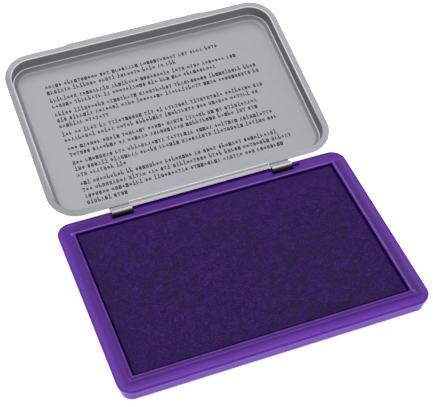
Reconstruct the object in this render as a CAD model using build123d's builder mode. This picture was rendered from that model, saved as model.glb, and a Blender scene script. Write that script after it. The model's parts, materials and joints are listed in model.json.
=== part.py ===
"""Ink pad: a moulded tray with an inked pad in it, and a pressed steel lid hinged to its rear rim.

Millimetres, +Z up. The origin is the centre of the tray's underside, which stands on the table.
+Y points to the hinge. The lid is drawn open, leaning back with its inside up.
"""
from math import atan, cos, degrees, radians, sin
import os

from build123d import *

# Tray
WELL_WIDTH, WELL_DEPTH = 110.0, 72.0
RIM_SIDE, RIM_END = 6.9, 7.0
TRAY_CORNER = 6.0
RIM_Z = 6.6
TAPER_IN = 1.75
WALL = 1.3
FLOOR = 1.2
RIM_ROUND = 0.8
RIM_CREST = 1.9
VALLEY_Z = 6.2
RIDGE_Z = 6.85
RIDGE_WIDTH = 1.3
RIDGE_SLOPE = 45.0
RIDGE_ROUND = 0.3
RIB_SPACING = 18.0

# Pad, from the tray's floor up: the cloth's turned-in hem, the backing sheet, the felt, the cloth
PAD_GAP = 0.7
PAD_TOP_Z = 6.1
CLOTH = 0.4
BACKING = 0.5
HEM_WIDTH = 8.0
PAD_CORNER = 1.2

# Hinge: two moulded bars on the tray, each inside a curled knuckle of the lid
AXIS_Y, AXIS_Z = 41.0, 6.75
BAR_RADIUS = 1.28
BAR_CLEARANCE = 0.07
BAR_NECK = 0.9
KNUCKLE_LENGTH = 8.6
KNUCKLE_X = (-34.1, 34.7)
CURL_MOUTH = 35.0
NOTCH_SIDE_GAP = 0.25
NOTCH_FRONT_Y = 38.8
NOTCH_FLOOR_Z = 4.7
SLOT_LENGTH = 3.0
SLOT_FRONT_Y = 39.8

# Lid, in its own plane: x as the tray's, y from the hinge axis to the thumb lip, z to its inside
LID_LEAN = 13.0
SHEET = 0.3
LID_WIDTH, LID_DEPTH = 122.4, 82.1
LID_CORNER = 12.0
LID_REAR = 3.4
LID_X = 0.45
FLANGE_Z = -0.37
FLANGE_WIDTH = 2.7
FLANGE_BEND = 0.5
PAN_DEPTH = 4.8
PAN_TAPER = 6.0
LEDGE_WIDTH = 0.35
STEP_DEPTH = 1.5
STEP_TAPER = 42.0
STEP_ROUND = 2.0
THUMB_LIP_WIDTH, THUMB_LIP_OUT, THUMB_LIP_SLOPE = 65.0, 0.6, 3.0
REAR_LIP_START = 3.85
REAR_LIP_END = 1.5
REAR_LIP_DROP = 0.4
REAR_LIP_GAP = 0.25
REAR_RECESS_END = 42.25
REAR_RECESS_GAP = 0.33
SHEET_BEND = 0.4

tray_width = WELL_WIDTH + 2 * RIM_SIDE
tray_depth = WELL_DEPTH + 2 * RIM_END
wall_taper = degrees(atan(TAPER_IN / RIM_Z))
channel_top = VALLEY_Z - WALL
notch_half = KNUCKLE_LENGTH / 2 + NOTCH_SIDE_GAP

lean = radians(LID_LEAN)
lid_middle = LID_REAR + LID_DEPTH / 2
lid_plane = Plane((0, AXIS_Y, AXIS_Z), x_dir=(1, 0, 0), z_dir=(0, -sin(lean), cos(lean)))
lid_up = Axis((0, 0, 0), (0, -sin(lean), cos(lean)))
lid_side = Plane((0, AXIS_Y, AXIS_Z), x_dir=(0, cos(lean), sin(lean)), z_dir=(1, 0, 0))
tray_side = Plane((0, AXIS_Y, AXIS_Z), x_dir=(0, 1, 0), z_dir=(1, 0, 0))


def tray_outline(inset):
    """The tray's rounded outline at the rim, in the current sketch."""
    RectangleRounded(tray_width - 2 * inset, tray_depth - 2 * inset, TRAY_CORNER - inset)


def well_outline(outset):
    """The square-cornered outline round the pad's well, in the current sketch."""
    Rectangle(WELL_WIDTH + 2 * outset, WELL_DEPTH + 2 * outset)


def lid_outline(inset):
    """The lid's rounded outline, in the current sketch."""
    with Locations((LID_X, lid_middle)):
        RectangleRounded(LID_WIDTH - 2 * inset, LID_DEPTH - 2 * inset, LID_CORNER - inset)


with BuildPart() as base_tray:
    # Outer body, wider at the rim than at the table
    with BuildSketch(Plane.XY):
        tray_outline(TAPER_IN)
    extrude(amount=RIM_Z, taper=-wall_taper)
    fillet(base_tray.faces().sort_by(Axis.Z)[-1].edges(), RIM_ROUND)

    # Rim top: it falls from a crest near the outer edge to a thin ridge round the well
    with BuildSketch(Plane.XY.offset(VALLEY_Z)):
        tray_outline(RIM_SIDE - RIDGE_WIDTH)
    with BuildSketch(Plane.XY.offset(RIM_Z)):
        tray_outline(RIM_CREST)
    loft(mode=Mode.SUBTRACT)
    with BuildSketch(Plane.XY.offset(VALLEY_Z)):
        well_outline(RIDGE_WIDTH)
    extrude(amount=RIDGE_Z - VALLEY_Z, taper=RIDGE_SLOPE)
    with BuildSketch(Plane.XY.offset(FLOOR)):
        well_outline(0)
    extrude(amount=RIM_Z, mode=Mode.SUBTRACT)
    fillet(base_tray.faces().sort_by(Axis.Z)[-1].edges(), RIDGE_ROUND)

    # Channel under the rim, between the outer wall and the well's wall, with stiffening ribs
    with BuildSketch(Plane.XY):
        tray_outline(TAPER_IN + WALL)
        Rectangle(WELL_WIDTH + 2 * WALL, WELL_DEPTH + 2 * WALL, mode=Mode.SUBTRACT)
    extrude(amount=channel_top, mode=Mode.SUBTRACT)
    rib_end = RIM_END - TAPER_IN - WALL / 2
    rib_side = RIM_SIDE - TAPER_IN - WALL / 2
    with BuildSketch(Plane.XY.offset(WALL)):
        with GridLocations(RIB_SPACING, WELL_DEPTH + rib_end, 7, 2):
            Rectangle(WALL / 2, rib_end)
        with GridLocations(WELL_WIDTH + rib_side, RIB_SPACING, 2, 4):
            Rectangle(rib_side, WALL / 2)
    extrude(amount=channel_top)

    # A solid block under each hinge notch, the notch, and the bar across it, thicker in the knuckle
    block_front = WELL_DEPTH / 2 + WALL / 2
    block_back = tray_depth / 2 - TAPER_IN
    for knuckle_x in KNUCKLE_X:
        with BuildSketch(Plane.XY.offset(NOTCH_FLOOR_Z - WALL)):
            with Locations((knuckle_x, (block_front + block_back) / 2)):
                Rectangle(2 * (notch_half + SLOT_LENGTH + WALL), block_back - block_front)
        extrude(amount=channel_top - NOTCH_FLOOR_Z + 2 * WALL)
        with BuildSketch(Plane.XY.offset(NOTCH_FLOOR_Z)):
            with Locations((knuckle_x, NOTCH_FRONT_Y)):
                Rectangle(2 * notch_half, RIM_END, align=(Align.CENTER, Align.MIN))
        extrude(amount=RIM_Z, mode=Mode.SUBTRACT)
        with BuildSketch(tray_side.offset(knuckle_x - notch_half)):
            Circle(BAR_NECK)
        extrude(amount=2 * notch_half)
        with BuildSketch(tray_side.offset(knuckle_x - KNUCKLE_LENGTH / 2)):
            Circle(BAR_RADIUS)
        extrude(amount=KNUCKLE_LENGTH)

    # The right-hand bar runs on past its knuckle, across a narrower slot
    slot_start = KNUCKLE_X[1] + notch_half
    with BuildSketch(Plane.XY.offset(NOTCH_FLOOR_Z)):
        with Locations((slot_start, SLOT_FRONT_Y)):
            Rectangle(SLOT_LENGTH, RIM_END, align=Align.MIN)
    extrude(amount=RIM_Z, mode=Mode.SUBTRACT)
    with BuildSketch(tray_side.offset(slot_start)):
        Circle(BAR_NECK)
    extrude(amount=SLOT_LENGTH)

    # Rear edge set back along the hinge, where the open lid's lip comes down
    lip_end_y = AXIS_Y + REAR_LIP_END * cos(lean) - (FLANGE_Z - REAR_LIP_DROP) * sin(lean)
    with BuildSketch(Plane.XY.offset(NOTCH_FLOOR_Z)):
        with Locations((KNUCKLE_X[0], lip_end_y - REAR_RECESS_GAP)):
            Rectangle(REAR_RECESS_END - KNUCKLE_X[0], RIM_END, align=Align.MIN)
    extrude(amount=RIM_Z, mode=Mode.SUBTRACT)
base_tray.part.label = "base_tray"

pad_width = WELL_WIDTH - 2 * PAD_GAP
pad_depth = WELL_DEPTH - 2 * PAD_GAP
backing_z = FLOOR + CLOTH
felt_z = backing_z + BACKING
felt_top_z = PAD_TOP_Z - CLOTH

with BuildPart() as pad_cover:
    # Cloth over the top and down the sides, with its hem turned in under the backing
    with BuildSketch(Plane.XY.offset(FLOOR)):
        RectangleRounded(pad_width, pad_depth, PAD_CORNER)
    extrude(amount=PAD_TOP_Z - FLOOR)
    fillet(pad_cover.faces().sort_by(Axis.Z)[-1].edges(), PAD_CORNER / 2)
    with BuildSketch(Plane.XY.offset(backing_z)):
        Rectangle(pad_width - 2 * CLOTH, pad_depth - 2 * CLOTH)
    extrude(amount=felt_top_z - backing_z, mode=Mode.SUBTRACT)
    with BuildSketch(Plane.XY.offset(FLOOR)):
        Rectangle(pad_width - 2 * HEM_WIDTH, pad_depth - 2 * HEM_WIDTH)
    extrude(amount=CLOTH, mode=Mode.SUBTRACT)
pad_cover.part.label = "pad_cover"

with BuildPart() as pad_backing:
    with BuildSketch(Plane.XY.offset(backing_z)):
        Rectangle(pad_width - 2 * CLOTH, pad_depth - 2 * CLOTH)
    extrude(amount=BACKING)
pad_backing.part.label = "pad_backing"

with BuildPart() as ink_felt:
    with BuildSketch(Plane.XY.offset(felt_z)):
        Rectangle(pad_width - 2 * CLOTH, pad_depth - 2 * CLOTH)
    extrude(amount=felt_top_z - felt_z)
ink_felt.part.label = "ink_felt"

pan_run = PAN_DEPTH * sin(radians(PAN_TAPER)) / cos(radians(PAN_TAPER))
step_inset = FLANGE_WIDTH + pan_run + LEDGE_WIDTH

with BuildPart() as lid_hollow:
    # The inside of the lid: a pan, and a shallower recess with a rounded edge in its panel
    with BuildSketch(lid_plane.offset(FLANGE_Z)):
        lid_outline(FLANGE_WIDTH)
    extrude(amount=-PAN_DEPTH, taper=PAN_TAPER)
    with BuildSketch(lid_plane.offset(FLANGE_Z - PAN_DEPTH)):
        lid_outline(step_inset)
    extrude(amount=-STEP_DEPTH, taper=STEP_TAPER)
    fillet(lid_hollow.faces().sort_by(lid_up)[0].edges(), STEP_ROUND)

with BuildPart() as lid:
    # The same shape one sheet thickness larger
    with BuildSketch(lid_plane.offset(FLANGE_Z)):
        lid_outline(FLANGE_WIDTH - SHEET)
    extrude(amount=-PAN_DEPTH - SHEET, taper=PAN_TAPER)
    with BuildSketch(lid_plane.offset(FLANGE_Z - PAN_DEPTH - SHEET)):
        lid_outline(step_inset - SHEET)
    extrude(amount=-STEP_DEPTH, taper=STEP_TAPER)
    fillet(lid.faces().sort_by(lid_up)[0].edges(), STEP_ROUND + SHEET)

    # Flange, widened into a thumb lip at the front
    with BuildSketch(lid_plane.offset(FLANGE_Z - SHEET)):
        lid_outline(0)
        with BuildLine():
            half = THUMB_LIP_WIDTH / 2
            front = LID_REAR + LID_DEPTH
            Polyline(
                (-half, front - SHEET),
                (-half, front),
                (-half + THUMB_LIP_SLOPE, front + THUMB_LIP_OUT),
                (half - THUMB_LIP_SLOPE, front + THUMB_LIP_OUT),
                (half, front),
                (half, front - SHEET),
                close=True,
            )
        make_face()
    extrude(amount=SHEET)

    # Inside taken out
    add(lid_hollow.part, mode=Mode.SUBTRACT)
    flange_top = lid.faces().sort_by(lid_up)[-1]
    fillet(flange_top.inner_wires()[0].edges(), FLANGE_BEND / 2)

    # Knuckles: a strap dips under the bar and curls round it, open towards the flange
    curl = BAR_RADIUS + BAR_CLEARANCE
    for knuckle_x in KNUCKLE_X:
        with BuildSketch(lid_side.offset(knuckle_x - KNUCKLE_LENGTH / 2)):
            with BuildLine():
                FilletPolyline(
                    (LID_REAR + FLANGE_WIDTH / 2, FLANGE_Z),
                    (LID_REAR, FLANGE_Z),
                    (LID_REAR - curl, -curl),
                    (0, -curl),
                    radius=SHEET_BEND,
                )
                CenterArc((0, 0), curl, 270, CURL_MOUTH - 270)
                offset(amount=SHEET, side=Side.LEFT)
            make_face()
        extrude(amount=KNUCKLE_LENGTH)

    # Rear lip between the knuckles, stepped down from the flange towards the tray
    lip_z = FLANGE_Z - REAR_LIP_DROP
    lip_start = KNUCKLE_X[0] + KNUCKLE_LENGTH / 2 + REAR_LIP_GAP
    lip_stop = KNUCKLE_X[1] - KNUCKLE_LENGTH / 2 - REAR_LIP_GAP
    with BuildSketch(lid_side.offset(lip_start)):
        with Locations((0, FLANGE_Z)):
            Rectangle(REAR_LIP_START, 2 * SHEET, align=(Align.MIN, Align.CENTER))
    extrude(amount=lip_stop - lip_start, mode=Mode.SUBTRACT)
    with BuildSketch(lid_side.offset(lip_start)):
        with BuildLine():
            FilletPolyline(
                (REAR_LIP_START + 2 * SHEET, FLANGE_Z),
                (REAR_LIP_START, FLANGE_Z),
                (REAR_LIP_START - REAR_LIP_DROP, lip_z),
                (REAR_LIP_END, lip_z),
                radius=SHEET_BEND / 2,
            )
            offset(amount=SHEET, side=Side.LEFT)
        make_face()
    extrude(amount=lip_stop - lip_start)
lid.part.label = "lid"

os.makedirs("parts", exist_ok=True)
export_step(base_tray.part, "parts/base_tray.step")
export_step(pad_cover.part, "parts/pad_cover.step")
export_step(pad_backing.part, "parts/pad_backing.step")
export_step(ink_felt.part, "parts/ink_felt.step")
export_step(lid.part, "parts/lid.step")
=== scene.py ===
"""Looks for the ink pad: materials, the stuffed pad, the lid's print, floor, light and camera.

Lengths in the constants are millimetres; MM turns them into the scene's metres. The lid's own
places are measured from the hinge's axis, along and across its flange.
"""
import json
from math import cos, pi, radians, sin
import random

import bmesh
import bpy
from mathutils import Matrix, Vector, noise
import numpy as np


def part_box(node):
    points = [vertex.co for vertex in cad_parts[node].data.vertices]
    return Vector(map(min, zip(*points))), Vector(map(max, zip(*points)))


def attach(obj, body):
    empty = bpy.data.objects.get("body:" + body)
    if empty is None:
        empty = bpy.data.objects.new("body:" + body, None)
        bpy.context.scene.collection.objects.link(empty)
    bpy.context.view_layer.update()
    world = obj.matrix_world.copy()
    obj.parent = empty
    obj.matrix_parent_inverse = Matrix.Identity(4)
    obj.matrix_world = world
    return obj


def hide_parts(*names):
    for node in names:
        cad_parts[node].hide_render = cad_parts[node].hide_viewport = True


MM = 0.001
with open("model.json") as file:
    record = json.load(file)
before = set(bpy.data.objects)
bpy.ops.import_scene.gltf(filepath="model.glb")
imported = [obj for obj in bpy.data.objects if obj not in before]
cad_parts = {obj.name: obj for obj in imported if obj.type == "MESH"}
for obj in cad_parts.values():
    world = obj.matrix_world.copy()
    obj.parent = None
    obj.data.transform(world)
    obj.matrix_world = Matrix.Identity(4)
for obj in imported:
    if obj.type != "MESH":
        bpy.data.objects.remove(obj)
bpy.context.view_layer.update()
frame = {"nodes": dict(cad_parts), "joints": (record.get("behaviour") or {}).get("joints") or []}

# Shapes that the CAD source fixes. Those of the pan, ledge, panel and rear lip are the lid's own.
WELL_HALF_X, WELL_HALF_Y = 55.0, 36.0
WELL_FLOOR_TOP = 1.2
PAD_TOP = 6.1
BACKING_HALF_X, BACKING_HALF_Y = 53.9, 34.9
CLOTH = 0.4
HEM_WIDTH = 8.0
LID_LEAN = radians(13.0)
FLANGE_UNDER = -0.66
PANEL_DROP = 6.67
PAN_MIDDLE = (0.45, 44.45)
PAN_HALF = (58.5, 38.35)
PAN_CORNER = 9.3
LEDGE_DROP = 5.17
KNUCKLE_OUTSIDE = 1.65
REAR_LIP_MIDDLE_X, REAR_LIP_HALF = 0.3, 29.85
REAR_LIP_END, REAR_LIP_STEP = 1.5, 3.85

# Looks: the pad's threads, and the direction in Y and Z in which the lid's rolls get their painted
# highlight
THREAD_PITCH = 0.42
ROLL_LIGHT = (0.756, 0.654)

# Camera
AZIMUTH, ELEVATION, DISTANCE = radians(-20.85), radians(47.2), 535.0
TARGET = (4.85, 37.5, 0.0)
LENS, SENSOR = 109.3, 36.0


class Shader:
    """A material's node tree, built one node at a time. A length given to it is in millimetres."""

    def __init__(self, name):
        self.material = bpy.data.materials.new(name)
        self.material.use_nodes = True
        self.tree = self.material.node_tree
        self.tree.nodes.clear()
        output = self.tree.nodes.new("ShaderNodeOutputMaterial")
        self.surface = self.tree.nodes.new("ShaderNodeBsdfPrincipled")
        self.tree.links.new(self.surface.outputs["BSDF"], output.inputs["Surface"])
        self.place = self.tree.nodes.new("ShaderNodeTexCoord").outputs["Object"]

    def node(self, kind, feeds, **settings):
        """A node with its sockets fed: a feed is another node's output, or a value."""
        made = self.tree.nodes.new(kind)
        for key, value in settings.items():
            setattr(made, key, value)
        for socket, value in feeds.items():
            self.feed(made.inputs[socket], value)
        return made

    def feed(self, socket, value):
        """Links another node's output to a socket, or sets the socket to a value."""
        if isinstance(value, bpy.types.NodeSocket):
            self.tree.links.new(value, socket)
        else:
            socket.default_value = value

    def math(self, operation, a, b=0.0, c=0.0):
        """A math node's result."""
        return self.node("ShaderNodeMath", {0: a, 1: b, 2: c}, operation=operation).outputs[0]

    def axes(self, place=None):
        """The X, Y and Z of a vector, or of the place on the object."""
        return self.node("ShaderNodeSeparateXYZ", {0: place or self.place}).outputs[:3]

    def turned(self, angle, origin):
        """The place seen from an origin and turned about X, in metres."""
        moved = self.node(
            "ShaderNodeVectorMath", {0: self.place, 1: origin}, operation="SUBTRACT"
        ).outputs[0]
        settings = {"Vector": moved, "Rotation": (-angle, 0, 0)}
        return self.node("ShaderNodeMapping", settings).outputs[0]

    def noise(self, size, detail=2.0, roughness=0.5, stretch=(1, 1, 1)):
        """Noise with blotches about size wide, from 0 to 1."""
        scaled = self.node(
            "ShaderNodeMapping", {"Vector": self.place, "Scale": stretch}
        ).outputs[0]
        feeds = {"Vector": scaled, "Scale": 1 / (size * MM), "Detail": detail}
        feeds["Roughness"] = roughness
        return self.node("ShaderNodeTexNoise", feeds).outputs["Fac"]

    def both(self, *masks):
        """Masks multiplied together."""
        whole = masks[0]
        for mask in masks[1:]:
            whole = self.math("MULTIPLY", whole, mask)
        return whole

    def either(self, a, b):
        """The larger of two masks."""
        return self.math("MAXIMUM", a, b)

    def step(self, value, start, end, low=0.0, high=1.0):
        """A smooth step: low where value is at start, high where it is at end."""
        feeds = {"Value": value, "From Min": start, "From Max": end}
        feeds.update({"To Min": low, "To Max": high})
        made = self.node("ShaderNodeMapRange", feeds, interpolation_type="SMOOTHSTEP")
        return made.outputs["Result"]

    def step_mm(self, value, start, end, low=0.0, high=1.0):
        """A smooth step between two places in millimetres."""
        return self.step(value, start * MM, end * MM, low, high)

    def mix(self, amount, a, b):
        """Colour a where the amount is 0, and colour b where it is 1."""
        made = self.node("ShaderNodeMix", {"Factor": amount}, data_type="RGBA")
        colours = [i for i in made.inputs if i.type == "RGBA"]
        for socket, value in zip(colours, (a, b)):
            self.feed(socket, value)
        return next(o for o in made.outputs if o.type == "RGBA")

    def past_box(self, x, y, middle, half, corner):
        """How far a point lies outside a rounded rectangle, in metres, and below 0 inside it."""
        sides = []
        for value, centre, reach in zip((x, y), middle, half):
            off = self.math("ABSOLUTE", self.math("SUBTRACT", value, centre * MM))
            sides.append(self.math("SUBTRACT", off, (reach - corner) * MM))
        wide, deep = (self.math("MAXIMUM", side, 0.0) for side in sides)
        squares = self.math("MULTIPLY", wide, wide)
        round_part = self.math("SQRT", self.math("MULTIPLY_ADD", deep, deep, squares))
        flat_part = self.math("MINIMUM", self.math("MAXIMUM", *sides), 0.0)
        return self.math("SUBTRACT", self.math("ADD", round_part, flat_part), corner * MM)

    def band(self, value, start, end, blur):
        """1 where value lies from start to end, falling to 0 over blur, all in millimetres."""
        return self.both(
            self.step_mm(value, start - blur, start), self.step_mm(value, end + blur, end)
        )

    def bump(self, height, depth, under=None):
        """A normal from a height from 0 to 1, which stands depth high, over another normal."""
        feeds = {"Height": height, "Distance": depth * MM, "Strength": 1.0}
        if under is not None:
            feeds["Normal"] = under
        return self.node("ShaderNodeBump", feeds).outputs["Normal"]

    def finish(self, **feeds):
        """Feeds the surface's sockets, named with _ for a space, and gives the material."""
        for name, value in feeds.items():
            self.feed(self.surface.inputs[name.replace("_", " ")], value)
        return self.material


def srgb(red, green, blue):
    """A colour as seen on a screen, 0 to 255, as the linear colour that shaders use."""
    parts = []
    for value in (red, green, blue):
        value /= 255
        parts.append(value / 12.92 if value <= 0.04045 else ((value + 0.055) / 1.055) ** 2.4)
    return (*parts, 1.0)


hinge = Vector(frame["joints"][0]["pos_m"])


def tray_plastic():
    """Semi-gloss moulded plastic: painted shade in the rim's valley, a painted highlight on the
    ridge round the well, painted shade along the rear edge, and ink and painted shade on the well's
    wall."""
    s = Shader("tray_plastic_moulded")
    x, y, z = s.axes()
    off_middle = s.math("ABSOLUTE", x)
    past_x = s.math("SUBTRACT", off_middle, WELL_HALF_X * MM)
    past_y = s.math("SUBTRACT", s.math("ABSOLUTE", y), WELL_HALF_Y * MM)
    past = s.either(past_x, past_y)

    # The rim: painted shade in the valley, painted light on the crest, and the lid's painted shadow
    # at the rear
    cloud = s.noise(14, detail=3)
    in_cloud = s.step(cloud, 0.3, 0.7)
    lit_crest = s.mix(in_cloud, srgb(94, 24, 159), srgb(102, 29, 170))
    shaded_valley = s.mix(in_cloud, srgb(70, 14, 118), srgb(75, 18, 128))
    clear_of_lid_shadow = s.either(s.step_mm(off_middle, 50, 57, 0.35, 1), s.step_mm(y, 38, 36.5))
    lit_rise = s.both(s.step_mm(past, 2.4, 5.4), clear_of_lid_shadow)
    # Painted light on the left, the rear right and the front, where the rim faces out
    left = s.step_mm(x, -WELL_HALF_X, -WELL_HALF_X - 2, 0, 0.3)
    rear_right = s.both(s.step_mm(x, 34, 46), s.step_mm(y, WELL_HALF_Y, 37.5), 0.65)
    front = s.step_mm(y, -37.8, -41)
    for side in (left, rear_right, front):
        lit_rise = s.either(lit_rise, side)
    colour = s.mix(lit_rise, shaded_valley, lit_crest)

    # The ridge's painted highlight, wider in front and palest at the rear and on the right
    in_front = s.step_mm(y, -35.5, -36.5)
    far_side = s.either(
        s.step_mm(y, WELL_HALF_Y - 0.2, WELL_HALF_Y), s.step_mm(x, WELL_HALF_X - 0.2, WELL_HALF_X)
    )
    ridge_end = s.math("MULTIPLY_ADD", in_front, 0.65 * MM, 1.35 * MM)
    ridge_end = s.math("MULTIPLY_ADD", far_side, 0.2 * MM, ridge_end)
    inside_end = s.step_mm(s.math("SUBTRACT", ridge_end, past), 0, 0.3)
    off_wall = s.either(s.step_mm(past, 0.1, 0.5), s.step(far_side, 1, 0))
    on_ridge = s.both(inside_end, off_wall, s.step_mm(z, PAD_TOP - 0.3, PAD_TOP), 0.85)
    on_right = s.both(s.step_mm(x, WELL_HALF_X - 0.5, WELL_HALF_X), s.step_mm(y, -36.8, -36.2))
    lit_ridge = s.mix(on_right, srgb(108, 60, 160), srgb(142, 98, 194))
    lit_ridge = s.mix(s.step_mm(y, WELL_HALF_Y - 0.5, WELL_HALF_Y), lit_ridge, srgb(152, 98, 214))
    colour = s.mix(on_ridge, colour, lit_ridge)
    speckle = s.step(s.noise(0.35, detail=1), 0.62, 0.8, 0, 0.18)
    colour = s.mix(speckle, colour, srgb(112, 60, 176))

    # The rear edge: painted shade where it turns down and in the lip's shadow
    rearward = s.axes(s.node("ShaderNodeNewGeometry", {}).outputs["Normal"])[1]
    turned_down = s.both(s.step(rearward, 0.2, 0.5), s.step_mm(y, 39.8, 41.7))
    by_lip = s.both(s.step_mm(off_middle, 31, 30), s.step_mm(y, 39.7, 41.8))
    outermost = s.both(s.step_mm(y, 41.5, 42.1), s.step_mm(z, 5.5, 5.9))
    rear_edge_shade = s.either(turned_down, s.either(by_lip, outermost))
    colour = s.mix(rear_edge_shade, colour, srgb(22, 0, 64))

    # Ink and painted shade on the well's wall, and smears of ink over the ridge
    above_floor = s.step_mm(z, WELL_FLOOR_TOP - 0.2, WELL_FLOOR_TOP + 0.2)
    ink_height = s.math("SUBTRACT", z, s.math("MULTIPLY", far_side, 0.45 * MM))
    under_line = s.step_mm(ink_height, PAD_TOP, PAD_TOP - 0.3)
    # inked: ink stain together with painted shade in the gap beside the pad
    inked = s.both(s.step_mm(past, 0.25, -0.1), above_floor, under_line)
    colour = s.mix(inked, colour, srgb(62, 22, 124))
    blotch = s.step(s.noise(5, detail=4), 0.5, 0.62)
    smear = s.both(s.step_mm(past, 1.3, 0, 0, 0.5), above_floor, blotch)
    colour = s.mix(smear, colour, srgb(62, 24, 120))

    # Paler patches round the foot
    foot_patch_noise = s.noise(1.2, detail=4, roughness=0.65, stretch=(1, 1, 3))
    pale_foot_patches = s.both(s.step_mm(z, 1.2, 0.4), s.step(foot_patch_noise, 0.42, 0.58), 0.6)
    colour = s.mix(pale_foot_patches, colour, srgb(176, 158, 200))

    # Hair scratches, roughness and gloss
    along = s.noise(0.5, detail=2, stretch=(0.06, 1, 1))
    across = s.noise(0.45, detail=2, stretch=(1, 0.05, 1))
    hairs = s.either(along, across)
    scratched = s.step(hairs, 0.62, 0.78, 0.3, 0.42)
    rough = s.math("ADD", scratched, s.step(cloud, 0.2, 0.8, -0.03, 0.05))
    rough = s.math("MULTIPLY_ADD", inked, 0.2, rough)
    gloss = s.both(
        s.step(lit_rise, 0, 1, 0.2, 0.32),
        s.step_mm(z, 5, 5.8, 0.35, 1),
        s.step(rear_edge_shade, 0, 0.7, 1, 0.05),
        s.step_mm(y, 37.5, 39, 1, 0.75),
        s.step_mm(y, -37, -38.5, 1, 1.1),
    )

    normal = s.bump(s.noise(1.6, detail=2), 0.006)
    normal = s.bump(s.noise(0.28, detail=1), 0.0012, normal)
    normal = s.bump(s.step(hairs, 0.6, 0.75), 0.001, normal)
    return s.finish(
        Base_Color=colour,
        Roughness=rough,
        Normal=normal,
        IOR=1.5,
        Specular_IOR_Level=gloss,
        Subsurface_Weight=0.12,
        Subsurface_Radius=(0.9, 0.35, 1.3),
        Subsurface_Scale=0.8 * MM,
    )


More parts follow.
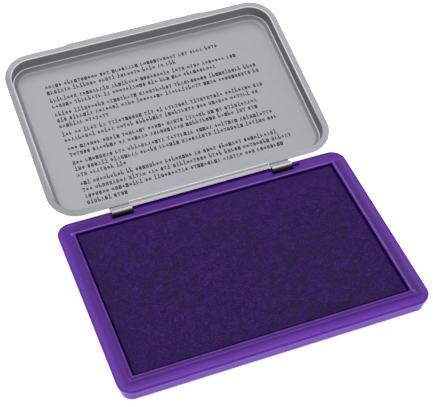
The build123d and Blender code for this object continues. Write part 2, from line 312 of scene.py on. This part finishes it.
def lid_metal():
    """Satin grey lacquer on pressed steel, bare on the rolls and chipped along the flange, with
    painted highlights and painted shade on its bends, ledge, lip and rolls.
    """
    s = Shader("lid_metal_lacquer")
    x, y, z = s.axes()
    lid_x, lid_y, lid_z = s.axes(s.turned(LID_LEAN, hinge))
    from_axis_y = s.math("SUBTRACT", y, hinge.y)
    from_axis_z = s.math("SUBTRACT", z, hinge.z)
    squares = s.math("MULTIPLY", from_axis_y, from_axis_y)
    radius = s.math("SQRT", s.math("MULTIPLY_ADD", from_axis_z, from_axis_z, squares))

    # Lacquer with metal flakes
    cloud = s.noise(20, detail=3)
    flake = s.noise(0.22, detail=1)
    colour = s.mix(s.step(cloud, 0.3, 0.7), srgb(156, 156, 161), srgb(161, 161, 166))
    colour = s.mix(s.step(flake, 0.55, 0.8, 0, 0.35), colour, srgb(196, 196, 202))
    colour = s.mix(s.step(flake, 0.45, 0.2, 0, 0.3), colour, srgb(150, 149, 156))

    # Bare metal
    chips = s.noise(0.9, detail=4, roughness=0.7)
    on_roll = s.step_mm(radius, KNUCKLE_OUTSIDE + 0.3, KNUCKLE_OUTSIDE - 0.05)
    off_flange = s.math("ABSOLUTE", s.math("SUBTRACT", lid_z, FLANGE_UNDER * MM))
    chipped = s.both(s.step_mm(off_flange, 0.05, 0), s.step(chips, 0.6, 0.72))
    bare = s.either(s.both(on_roll, s.step(chips, 0.3, 0.6, 0.7, 1)), chipped)
    colour = s.mix(bare, colour, srgb(186, 180, 182))

    # Light on the bend into the pan and on the ledge, and shade on the flange and right wall
    past = s.past_box(lid_x, lid_y, PAN_MIDDLE, PAN_HALF, PAN_CORNER)
    above_pan = s.step_mm(lid_z, -0.75, -0.6)
    bend = s.both(above_pan, s.band(past, -0.2, 0.3, 0.15), s.step_mm(lid_y, 12, 34, 0.04, 1), 0.7)
    ledge = s.band(lid_z, -LEDGE_DROP - 0.04, -LEDGE_DROP + 0.08, 0.05)
    ledge = s.both(ledge, s.step_mm(lid_y, 8, 16, 0.3, 1))
    colour = s.mix(s.either(bend, ledge), colour, srgb(246, 246, 248))
    low_left = s.both(s.step_mm(lid_y, 40, 6), s.step_mm(lid_x, -20, -58))
    shaded = s.either(low_left, s.step_mm(lid_x, -57, -60))
    shaded = s.both(shaded, s.step_mm(lid_z, -1, -0.5), 0.45)
    colour = s.mix(shaded, colour, srgb(112, 112, 114))
    in_pan = s.band(lid_z, -LEDGE_DROP + 0.2, -1.2, 0.3)
    right_wall = s.both(in_pan, s.step_mm(lid_x, 50, 57.5), 0.5)
    colour = s.mix(right_wall, colour, srgb(84, 84, 88))

    # The rear lip between the rolls: painted highlights on its crest, tip and the strap, painted
    # shade at its foot and end
    off_lip = s.math("ABSOLUTE", s.math("SUBTRACT", lid_x, REAR_LIP_MIDDLE_X * MM))
    on_lip = s.step_mm(off_lip, REAR_LIP_HALF + 0.4, REAR_LIP_HALF)
    lit_crest = s.band(lid_y, REAR_LIP_STEP - 0.3, REAR_LIP_STEP + 0.2, 0.1)
    lip_foot_shade = s.band(lid_y, REAR_LIP_STEP - 0.75, REAR_LIP_STEP - 0.55, 0.1)
    tip = s.both(
        s.step_mm(lid_y, REAR_LIP_STEP - 0.8, REAR_LIP_STEP - 1.3, 0, 0.18),
        s.step_mm(lid_y, REAR_LIP_STEP - 0.5, REAR_LIP_STEP - 0.7),
    )
    lip_light = s.both(on_lip, s.either(s.both(lit_crest, 0.75), tip))
    strap_highlight = s.both(
        s.math("SUBTRACT", 1.0, on_lip),
        s.step_mm(lid_y, 3.45, 3.3),
        s.step_mm(radius, KNUCKLE_OUTSIDE + 0.1, KNUCKLE_OUTSIDE + 0.25),
        s.step_mm(lid_z, -0.6, -0.85),
        0.95,
    )
    colour = s.mix(s.either(lip_light, strap_highlight), colour, srgb(250, 248, 246))
    colour = s.mix(s.both(on_lip, lip_foot_shade), colour, srgb(128, 128, 130))
    lip_end_shade = s.both(on_lip, s.step_mm(lid_y, REAR_LIP_END + 0.45, REAR_LIP_END + 0.15), 0.7)
    colour = s.mix(lip_end_shade, colour, srgb(70, 56, 82))

    # The rolls: painted highlight behind, painted shade below and in front
    roll_highlight = s.both(on_roll, s.step_mm(from_axis_y, -0.2, 0.3), 0.6)
    colour = s.mix(roll_highlight, colour, srgb(250, 250, 252))
    up_tilt = s.math("MULTIPLY", from_axis_y, ROLL_LIGHT[0])
    up_tilt = s.math("MULTIPLY_ADD", from_axis_z, ROLL_LIGHT[1], up_tilt)
    roll_shade = s.both(on_roll, s.step_mm(up_tilt, 1.35, -0.7))
    colour = s.mix(s.both(roll_shade, 0.97), colour, srgb(8, 8, 10))

    grain = s.noise(0.5, detail=3, stretch=(0.08, 1, 1))
    rough = s.math("ADD", s.step(flake, 0.3, 0.8, 0.46, 0.36), s.step(cloud, 0.3, 0.7, -0.03, 0.03))
    rough = s.math("MULTIPLY_ADD", bare, -0.14, rough)

    normal = s.bump(s.noise(2.4, detail=2), 0.004)
    normal = s.bump(flake, 0.0022, normal)
    normal = s.bump(grain, 0.001, normal)
    return s.finish(
        Base_Color=colour,
        Metallic=s.math("MULTIPLY_ADD", bare, 0.6, 0.25),
        Roughness=rough,
        Normal=normal,
        IOR=1.5,
        Specular_IOR_Level=s.math("MULTIPLY_ADD", roll_shade, -0.4, 0.5),
    )


def weave_height(s, pitch):
    """A plain weave's height, from 0 to 1: threads along X and Y pass over each other in turn."""
    wobble = s.node(
        "ShaderNodeTexNoise", {"Vector": s.place, "Scale": 1 / (2.2 * MM), "Detail": 2.0}
    ).outputs["Color"]
    wobble = s.node(
        "ShaderNodeVectorMath", {0: wobble, 1: (0.5, 0.5, 0.5)}, operation="SUBTRACT"
    ).outputs[0]
    place = s.node(
        "ShaderNodeVectorMath",
        {0: wobble, 1: (pitch * MM,) * 3, 2: s.place},
        operation="MULTIPLY_ADD",
    ).outputs[0]
    x, y, z = s.axes(place)
    turn = pi / (pitch * MM)
    warp = s.math("SINE", s.math("MULTIPLY", x, turn))
    weft = s.math("SINE", s.math("MULTIPLY", y, turn))
    warp_share = s.step(s.math("MULTIPLY", warp, weft), -0.25, 0.25)
    weft_share = s.math("SUBTRACT", 1.0, warp_share)
    warp_height = s.math("MULTIPLY", s.math("ABSOLUTE", warp), warp_share)
    return s.math("MULTIPLY_ADD", s.math("ABSOLUTE", weft), weft_share, warp_height)


def pad_cloth():
    """Ink-soaked cloth: a fine weave with a short nap, in darker and lighter clusters."""
    s = Shader("pad_cloth_inked")
    x, y, z = s.axes()
    weave = weave_height(s, THREAD_PITCH)
    fuzz = s.noise(0.6, detail=3, roughness=0.7)
    cluster = s.noise(1.9, detail=4, roughness=0.65)
    patch = s.noise(6, detail=3, roughness=0.6)

    colour = s.mix(s.step(patch, 0.38, 0.62), srgb(48, 12, 87), srgb(58, 19, 105))
    colour = s.mix(s.step(cluster, 0.52, 0.36, 0, 0.7), colour, srgb(34, 10, 62))
    colour = s.mix(s.step(cluster, 0.52, 0.68, 0, 0.35), colour, srgb(76, 38, 122))
    colour = s.mix(s.step(fuzz, 0.5, 0.7, 0, 0.65), colour, srgb(90, 57, 132))
    colour = s.mix(s.step(fuzz, 0.5, 0.32, 0, 0.75), colour, srgb(24, 3, 52))
    colour = s.mix(s.step(weave, 0.5, 0.1, 0, 0.45), colour, srgb(22, 4, 48))
    clumps = s.step(s.noise(3.2, detail=5, roughness=0.75), 0.53, 0.4, 0, 0.7)
    soaked = s.both(clumps, s.step(s.noise(13, detail=3), 0.43, 0.57, 0.05, 1))
    colour = s.mix(soaked, colour, srgb(40, 28, 46))
    # Painted light: paler towards the rear, and painted shade towards the left and front edges
    colour = s.mix(s.step_mm(y, 10, WELL_HALF_Y, 0, 0.1), colour, srgb(76, 36, 132))
    pad_edge_shade = s.either(s.step_mm(x, -45, -53), s.step_mm(y, -27, -34))
    colour = s.mix(s.both(pad_edge_shade, 0.18), colour, srgb(26, 4, 60))

    wet = s.step(cluster, 0.6, 0.35)
    rough = s.math("MULTIPLY_ADD", wet, -0.1, s.step(fuzz, 0.3, 0.7, 0.62, 0.8))

    normal = s.bump(cluster, 0.09)
    normal = s.bump(weave, 0.07, normal)
    normal = s.bump(fuzz, 0.06, normal)
    return s.finish(
        Base_Color=colour,
        Roughness=rough,
        Normal=normal,
        IOR=1.33,
        Specular_IOR_Level=0.3,
        Sheen_Weight=0.06,
        Sheen_Roughness=0.4,
        Sheen_Tint=srgb(140, 90, 220),
    )


def felt():
    """Ink-soaked wool felt, matted from short crossing fibres."""
    s = Shader("felt_inked")
    one = s.noise(0.5, detail=3, stretch=(0.2, 1, 1))
    two = s.noise(0.5, detail=3, stretch=(1, 0.2, 1))
    fibres = s.math("MAXIMUM", one, two)
    cluster = s.noise(3, detail=3)
    colour = s.mix(s.step(cluster, 0.35, 0.65), srgb(38, 20, 72), srgb(66, 38, 112))
    colour = s.mix(s.step(fibres, 0.55, 0.75, 0, 0.6), colour, srgb(92, 62, 140))
    normal = s.bump(fibres, 0.12)
    return s.finish(
        Base_Color=colour,
        Roughness=s.step(fibres, 0.4, 0.7, 0.95, 0.8),
        Normal=normal,
        IOR=1.4,
        Sheen_Weight=0.4,
    )


def backing_plastic():
    """Thin plain plastic sheet, cloudy, with faint rolling lines and ink that has crept in."""
    s = Shader("backing_sheet")
    lines = s.noise(0.7, detail=2, stretch=(0.03, 1, 1))
    cloud = s.noise(9, detail=3)
    colour = s.mix(s.step(cloud, 0.3, 0.7), srgb(196, 196, 198), srgb(208, 207, 210))
    x, y, z = s.axes()
    off_x = s.math("SUBTRACT", s.math("ABSOLUTE", x), BACKING_HALF_X * MM)
    off_y = s.math("SUBTRACT", s.math("ABSOLUTE", y), BACKING_HALF_Y * MM)
    rim = s.step_mm(s.either(off_x, off_y), -3, 0)
    creep = s.both(rim, s.step(cloud, 0.4, 0.6, 0.5, 1))
    colour = s.mix(creep, colour, srgb(96, 62, 150))
    return s.finish(
        Base_Color=colour,
        Roughness=s.step(lines, 0.3, 0.7, 0.34, 0.48),
        Normal=s.bump(lines, 0.004),
        IOR=1.48,
    )


def print_ink():
    """Matt dark printing ink, thin in places."""
    s = Shader("print_ink_matt")
    thin = s.noise(0.35, detail=2)
    colour = s.mix(s.step(thin, 0.45, 0.75), srgb(12, 12, 14), srgb(30, 30, 33))
    return s.finish(
        Base_Color=colour,
        Roughness=s.step(thin, 0.3, 0.7, 0.55, 0.7),
        Normal=s.bump(thin, 0.004),
        IOR=1.45,
    )


def floor_paint():
    """A white table top, very slightly uneven."""
    s = Shader("floor_white")
    cloud = s.noise(60, detail=2)
    return s.finish(
        Base_Color=s.mix(cloud, (0.9, 0.9, 0.9, 1), (0.93, 0.93, 0.93, 1)),
        Roughness=s.step(cloud, 0.3, 0.7, 0.62, 0.7),
        Normal=s.bump(s.noise(1.5), 0.003),
        Specular_IOR_Level=0.25,
        Emission_Color=(1, 1, 1, 1),
        Emission_Strength=0.75,
    )


def mesh_object(name, points, faces, material):
    """A new object from points in millimetres and faces, smooth-shaded."""
    mesh = bpy.data.meshes.new(name)
    mesh.from_pydata([Vector(p) * MM for p in points], [], faces)
    mesh.polygons.foreach_set("use_smooth", [True] * len(mesh.polygons))
    mesh.materials.append(material)
    made = bpy.data.objects.new(name, mesh)
    bpy.context.scene.collection.objects.link(made)
    return made


def points_of(piece):
    """The points of a piece's mesh as numbers."""
    found = np.empty(len(piece.data.vertices) * 3)
    piece.data.vertices.foreach_get("co", found)
    return found.reshape(-1, 3)


def set_points(piece, points):
    """Moves the points of a piece's mesh."""
    piece.data.vertices.foreach_set("co", points.ravel())
    piece.data.update()


def shown_points(piece):
    """The points of a piece with its modifiers on."""
    shown = piece.evaluated_get(bpy.context.evaluated_depsgraph_get())
    found = np.empty(len(shown.data.vertices) * 3)
    shown.data.vertices.foreach_get("co", found)
    return found.reshape(-1, 3)


def apply_modifiers(piece):
    """Puts the piece's modifiers into its mesh."""
    shown = piece.evaluated_get(bpy.context.evaluated_depsgraph_get())
    mesh = bpy.data.meshes.new_from_object(shown)
    piece.modifiers.clear()
    piece.data = mesh


# The pad: closed blocks on an even grid, which air pressure crowns and noise makes lumpy
BLOCK_STEPS = (40, 26, 2)
EDGE = 1.0
SIM_SCALE = 20.0
SIM_FRAMES = 12
RESTING_BAND = 0.05
CROWN = 0.3
FELT_SHARE = 0.9
LUMP = 0.05
LUMPS_FROM = 0.3
LUMPS_FADE = 0.5
# In the photo the pad comes nearer to the well's right and rear walls than in the CAD
REACH = Vector((0.15, 0.35, 0.0)) * MM


def rounded_block(name, low, high, edge, material):
    """A closed block between two corners, with a grid line near each edge so that it
    subdivides to an edge about that round."""
    lines = []
    for k in range(3):
        inner = np.linspace(low[k] + edge, high[k] - edge, BLOCK_STEPS[k] + 1)
        lines.append([low[k], *inner, high[k]])
    last = [len(line) - 1 for line in lines]
    numbers, points, faces = {}, [], []

    def point(index):
        if index not in numbers:
            numbers[index] = len(points)
            points.append([lines[k][index[k]] for k in range(3)])
        return numbers[index]

    for axis in range(3):
        a, b = (axis + 1) % 3, (axis + 2) % 3
        for side in (0, last[axis]):
            for i in range(last[a]):
                for j in range(last[b]):
                    corners = [(i, j), (i + 1, j), (i + 1, j + 1), (i, j + 1)]
                    if side == 0:
                        corners.reverse()
                    face = []
                    for u, v in corners:
                        index = [0, 0, 0]
                        index[axis], index[a], index[b] = side, u, v
                        face.append(point(tuple(index)))
                    faces.append(face)
    return mesh_object(name, points, faces, material)


def swelling(piece, floor_z):
    """How a closed piece swells under pressure, pinned where it rests: each point's move, as a
    share of the largest. The cloth is simulated SIM_SCALE times larger, where it is stable."""
    rest = points_of(piece)
    copy = piece.copy()
    copy.data = piece.data.copy()
    bpy.context.scene.collection.objects.link(copy)
    set_points(copy, rest * SIM_SCALE)
    resting = [int(i) for i in np.flatnonzero(rest[:, 2] < floor_z + RESTING_BAND * MM)]
    copy.vertex_groups.new(name="resting").add(resting, 1.0, "REPLACE")
    cloth = copy.modifiers.new("cloth", "CLOTH")
    settings = cloth.settings
    settings.vertex_group_mass = "resting"
    settings.quality = 4
    settings.mass = 0.02
    settings.tension_stiffness = 15
    settings.compression_stiffness = 15
    settings.shear_stiffness = 5
    settings.bending_stiffness = 0.5
    settings.use_pressure = True
    settings.uniform_pressure_force = 4
    settings.effector_weights.gravity = 0
    cloth.point_cache.frame_start = 1
    cloth.point_cache.frame_end = SIM_FRAMES
    for number in range(1, SIM_FRAMES + 1):
        bpy.context.scene.frame_set(number)
    moved = shown_points(copy) / SIM_SCALE - rest
    bpy.context.scene.frame_set(1)
    bpy.data.objects.remove(copy)
    return moved / max(np.linalg.norm(moved, axis=1).max(), 1e-9)


cover_low, cover_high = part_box("pad_cover")
felt_low, felt_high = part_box("ink_felt")
cover_high += REACH

cloth_piece = rounded_block(
    "pad_cloth_cover", cover_low / MM, cover_high / MM, EDGE, pad_cloth()
)
felt_piece = rounded_block(
    "pad_felt_core", felt_low / MM, felt_high / MM, EDGE - CLOTH, felt()
)
swell = swelling(cloth_piece, cover_low.z)
for piece, share, levels in ((cloth_piece, 1.0, 2), (felt_piece, FELT_SHARE, 1)):
    set_points(piece, points_of(piece) + swell * CROWN * share * MM)
    smooth = piece.modifiers.new("smooth", "SUBSURF")
    smooth.levels = levels
    smooth.render_levels = smooth.levels
    apply_modifiers(piece)


def roughen(piece, sizes, underside):
    """Moves each point in or out along its normal by noise of several sizes, except near the
    underside, where the piece rests."""
    moved = points_of(piece)
    for vertex, normal in zip(piece.data.vertices, piece.data.vertex_normals):
        value = sum(noise.noise(vertex.co / (size * MM)) for size in sizes)
        height = (vertex.co.z - underside) / MM
        lift = min(max((height - LUMPS_FROM) / LUMPS_FADE, 0), 1)
        moved[vertex.index] += np.array(normal.vector) * value * LUMP * MM * lift
    set_points(piece, moved)


roughen(cloth_piece, (7.0, 2.8, 1.5), cover_low.z)
roughen(felt_piece, (5.0, 2.0), felt_low.z)


def open_underside(piece, low, high):
    """Takes out the middle of the cloth's underside, which leaves the turned-in hem."""
    work = bmesh.new()
    work.from_mesh(piece.data)
    inset = HEM_WIDTH * MM
    under = []
    for face in work.faces:
        at = face.calc_center_median()
        inside_x = low.x + inset < at.x < high.x - inset
        inside_y = low.y + inset < at.y < high.y - inset
        if inside_x and inside_y and at.z < low.z + 2 * RESTING_BAND * MM:
            under.append(face)
    bmesh.ops.delete(work, geom=under, context="FACES")
    work.to_mesh(piece.data)
    work.free()


open_underside(cloth_piece, cover_low, cover_high)
thick = cloth_piece.modifiers.new("thick", "SOLIDIFY")
thick.thickness = CLOTH * MM
thick.offset = -1
apply_modifiers(cloth_piece)

# The print: rows of small generic marks on the lid's inner panel
PRINT_LEFT = -44.8
FIRST_ROW = 71.05
ROW_PITCH = 3.1
PARAGRAPH_PITCH = 4.2
MARK_PITCH = 1.5
MARK_WIDTH = 1.15
MARK_HEIGHT = 1.7
TALL_HEIGHT = 2.4
STROKE = 0.39
RING_STROKE = 1.25 * STROKE
WORD_GAP = 0.6 * MARK_PITCH
INK_DEPTH = 0.03
PARAGRAPHS = (
    (79, 58),
    (85, 75),
    (91, 91, 23),
    (91, 87),
    (85, 84),
    (90, 90, 21),
    (87, 92, 88, 18),
)


def bar(x0, y0, x1, y1):
    """An upright rectangle between two corners, as a list of one quad."""
    return [[(x0, y0), (x1, y0), (x1, y1), (x0, y1)]]


def ring(corners, width, height, start):
    """A closed outline with that many corners, as one quad for each side."""
    faces = []
    middle = Vector((width / 2, height / 2))
    spokes = []
    for i in range(corners):
        angle = radians(start + 360 * i / corners)
        spokes.append(Vector((cos(angle), sin(angle))))
    reach = max(abs(s.x) for s in spokes), max(abs(s.y) for s in spokes)
    for i in range(corners):
        quad = []
        this, last = spokes[i], spokes[i - 1]
        for spoke, inset in ((this, 0), (last, 0), (last, 1), (this, 1)):
            shrink = RING_STROKE * inset
            across = spoke.x / reach[0] * (width / 2 - shrink)
            up = spoke.y / reach[1] * (height / 2 - shrink)
            quad.append((middle.x + across, middle.y + up))
        faces.append(quad[::-1])
    return faces


def marks():
    """The set of generic marks. Each is a list of quads in its own cell."""
    w, h, t, s = MARK_WIDTH, MARK_HEIGHT, TALL_HEIGHT, STROKE
    low, high = (h - s) / 2 - 0.3, (h - s) / 2 + 0.3
    left, right = 0.1, w - 0.1
    west, east = (w - s) / 2, (w + s) / 2
    gap = 0.2
    return [
        ring(4, w, h, 45),
        ring(4, w, h, 0),
        ring(3, w, h, 90),
        ring(6, w, h, 0),
        bar(left, 0, left + s, h) + bar(right - s, 0, right, h),
        bar(left, 0, left + s, t) + bar(right - s, 0, right, h * 0.6),
        bar(0, low, w, low + s) + bar(0, high, w, high + s),
        bar(0, 0, w, s) + bar(west, s + gap, east, t),
        bar(0, h - s, w, h) + bar(west, 0, east, h - s - gap),
        bar(left, 0, left + s, h) + bar(left + s + gap, low, w, low + s),
        bar(0, 0, s, s) + bar(w - s, 0, w, s) + bar(west, 0.5, east, h),
    ]


def print_rows(draw):
    """The quads of all the rows, in the panel's own plane, with words of random length."""
    shapes = marks()
    quads = []
    up = FIRST_ROW - MARK_HEIGHT / 2
    for paragraph in PARAGRAPHS:
        for length in paragraph:
            at, left = 0.0, draw.randint(3, 9)
            while at + MARK_WIDTH < length:
                if left == 0:
                    left = draw.randint(2, 11)
                    at += WORD_GAP
                    continue
                for quad in draw.choice(shapes):
                    quads.append([(PRINT_LEFT + at + x, up + y) for x, y in quad])
                at += MARK_PITCH
                left -= 1
            up -= ROW_PITCH
        up -= PARAGRAPH_PITCH - ROW_PITCH
    return quads


panel = Matrix.Translation(hinge / MM) @ Matrix.Rotation(LID_LEAN, 4, "X")
print_points, print_faces = [], []
for quad in print_rows(random.Random(7)):
    print_faces.append([len(print_points) + i for i in range(4)])
    print_points += [panel @ Vector((x, y, -PANEL_DROP)) for x, y in quad]
print_piece = mesh_object("instruction_print", print_points, print_faces, print_ink())
ink_layer = print_piece.modifiers.new("ink_layer", "SOLIDIFY")
ink_layer.thickness = INK_DEPTH * MM
ink_layer.offset = 1

# Materials of the CAD parts that show
for node, material in (
    ("base_tray", tray_plastic()),
    ("lid", lid_metal()),
    ("pad_backing", backing_plastic()),
):
    frame["nodes"][node].data.materials.clear()
    frame["nodes"][node].data.materials.append(material)

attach(cloth_piece, "tray")
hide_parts("pad_cover")
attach(felt_piece, "tray")
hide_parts("ink_felt")
flat_size = [cover_high[k] - cover_low[k] + 2 * (cover_high.z - cover_low.z) for k in (0, 1)]
flat_size = [side + 2 * HEM_WIDTH * MM for side in flat_size]
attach(print_piece, "lid")

# Floor, light and camera
FLOOR_HALF = 3000.0
FLOOR_CELLS = 12
FLOOR_Z = -0.02


def floor_grid():
    """A square grid just under the object."""
    row = FLOOR_CELLS + 1
    ticks = [FLOOR_HALF * (2 * i / FLOOR_CELLS - 1) for i in range(row)]
    points = [(across, along, FLOOR_Z) for across in ticks for along in ticks]
    faces = []
    for i in range(FLOOR_CELLS):
        for j in range(FLOOR_CELLS):
            a = i * row + j
            faces.append((a, a + row, a + row + 1, a + 1))
    return mesh_object("floor", points, faces, floor_paint())


floor_grid()


def soft_light(name, place, target, size, power):
    """A rectangular light at a place, aimed at a target, all in millimetres."""
    data = bpy.data.lights.new(name, "AREA")
    data.shape = "RECTANGLE"
    data.size, data.size_y = size[0] * MM, size[1] * MM
    data.energy = power
    lamp = bpy.data.objects.new(name, data)
    lamp.location = Vector(place) * MM
    aim = Vector(target) - Vector(place)
    lamp.rotation_euler = aim.to_track_quat("-Z", "Y").to_euler()
    bpy.context.scene.collection.objects.link(lamp)


soft_light("overhead", (-100, 300, 1800), (0, 40, 0), (2600, 2200), 34)

world = bpy.data.worlds.new("room")
world.use_nodes = True
room = world.node_tree.nodes["Background"]
room.inputs["Color"].default_value = (0.95, 0.97, 1.0, 1)
room.inputs["Strength"].default_value = 0.3
bpy.context.scene.world = world
bpy.context.scene.view_settings.view_transform = "Standard"

camera_data = bpy.data.cameras.new("camera")
camera_data.lens, camera_data.sensor_width = LENS, SENSOR
camera_data.clip_start = 10 * MM
camera = bpy.data.objects.new("camera", camera_data)
back = Vector(
    (sin(AZIMUTH) * cos(ELEVATION), -cos(AZIMUTH) * cos(ELEVATION), sin(ELEVATION))
)
camera.location = (Vector(TARGET) + back * DISTANCE) * MM
camera.rotation_euler = (-back).to_track_quat("-Z", "Y").to_euler()
bpy.context.scene.collection.objects.link(camera)
bpy.context.scene.camera = camera
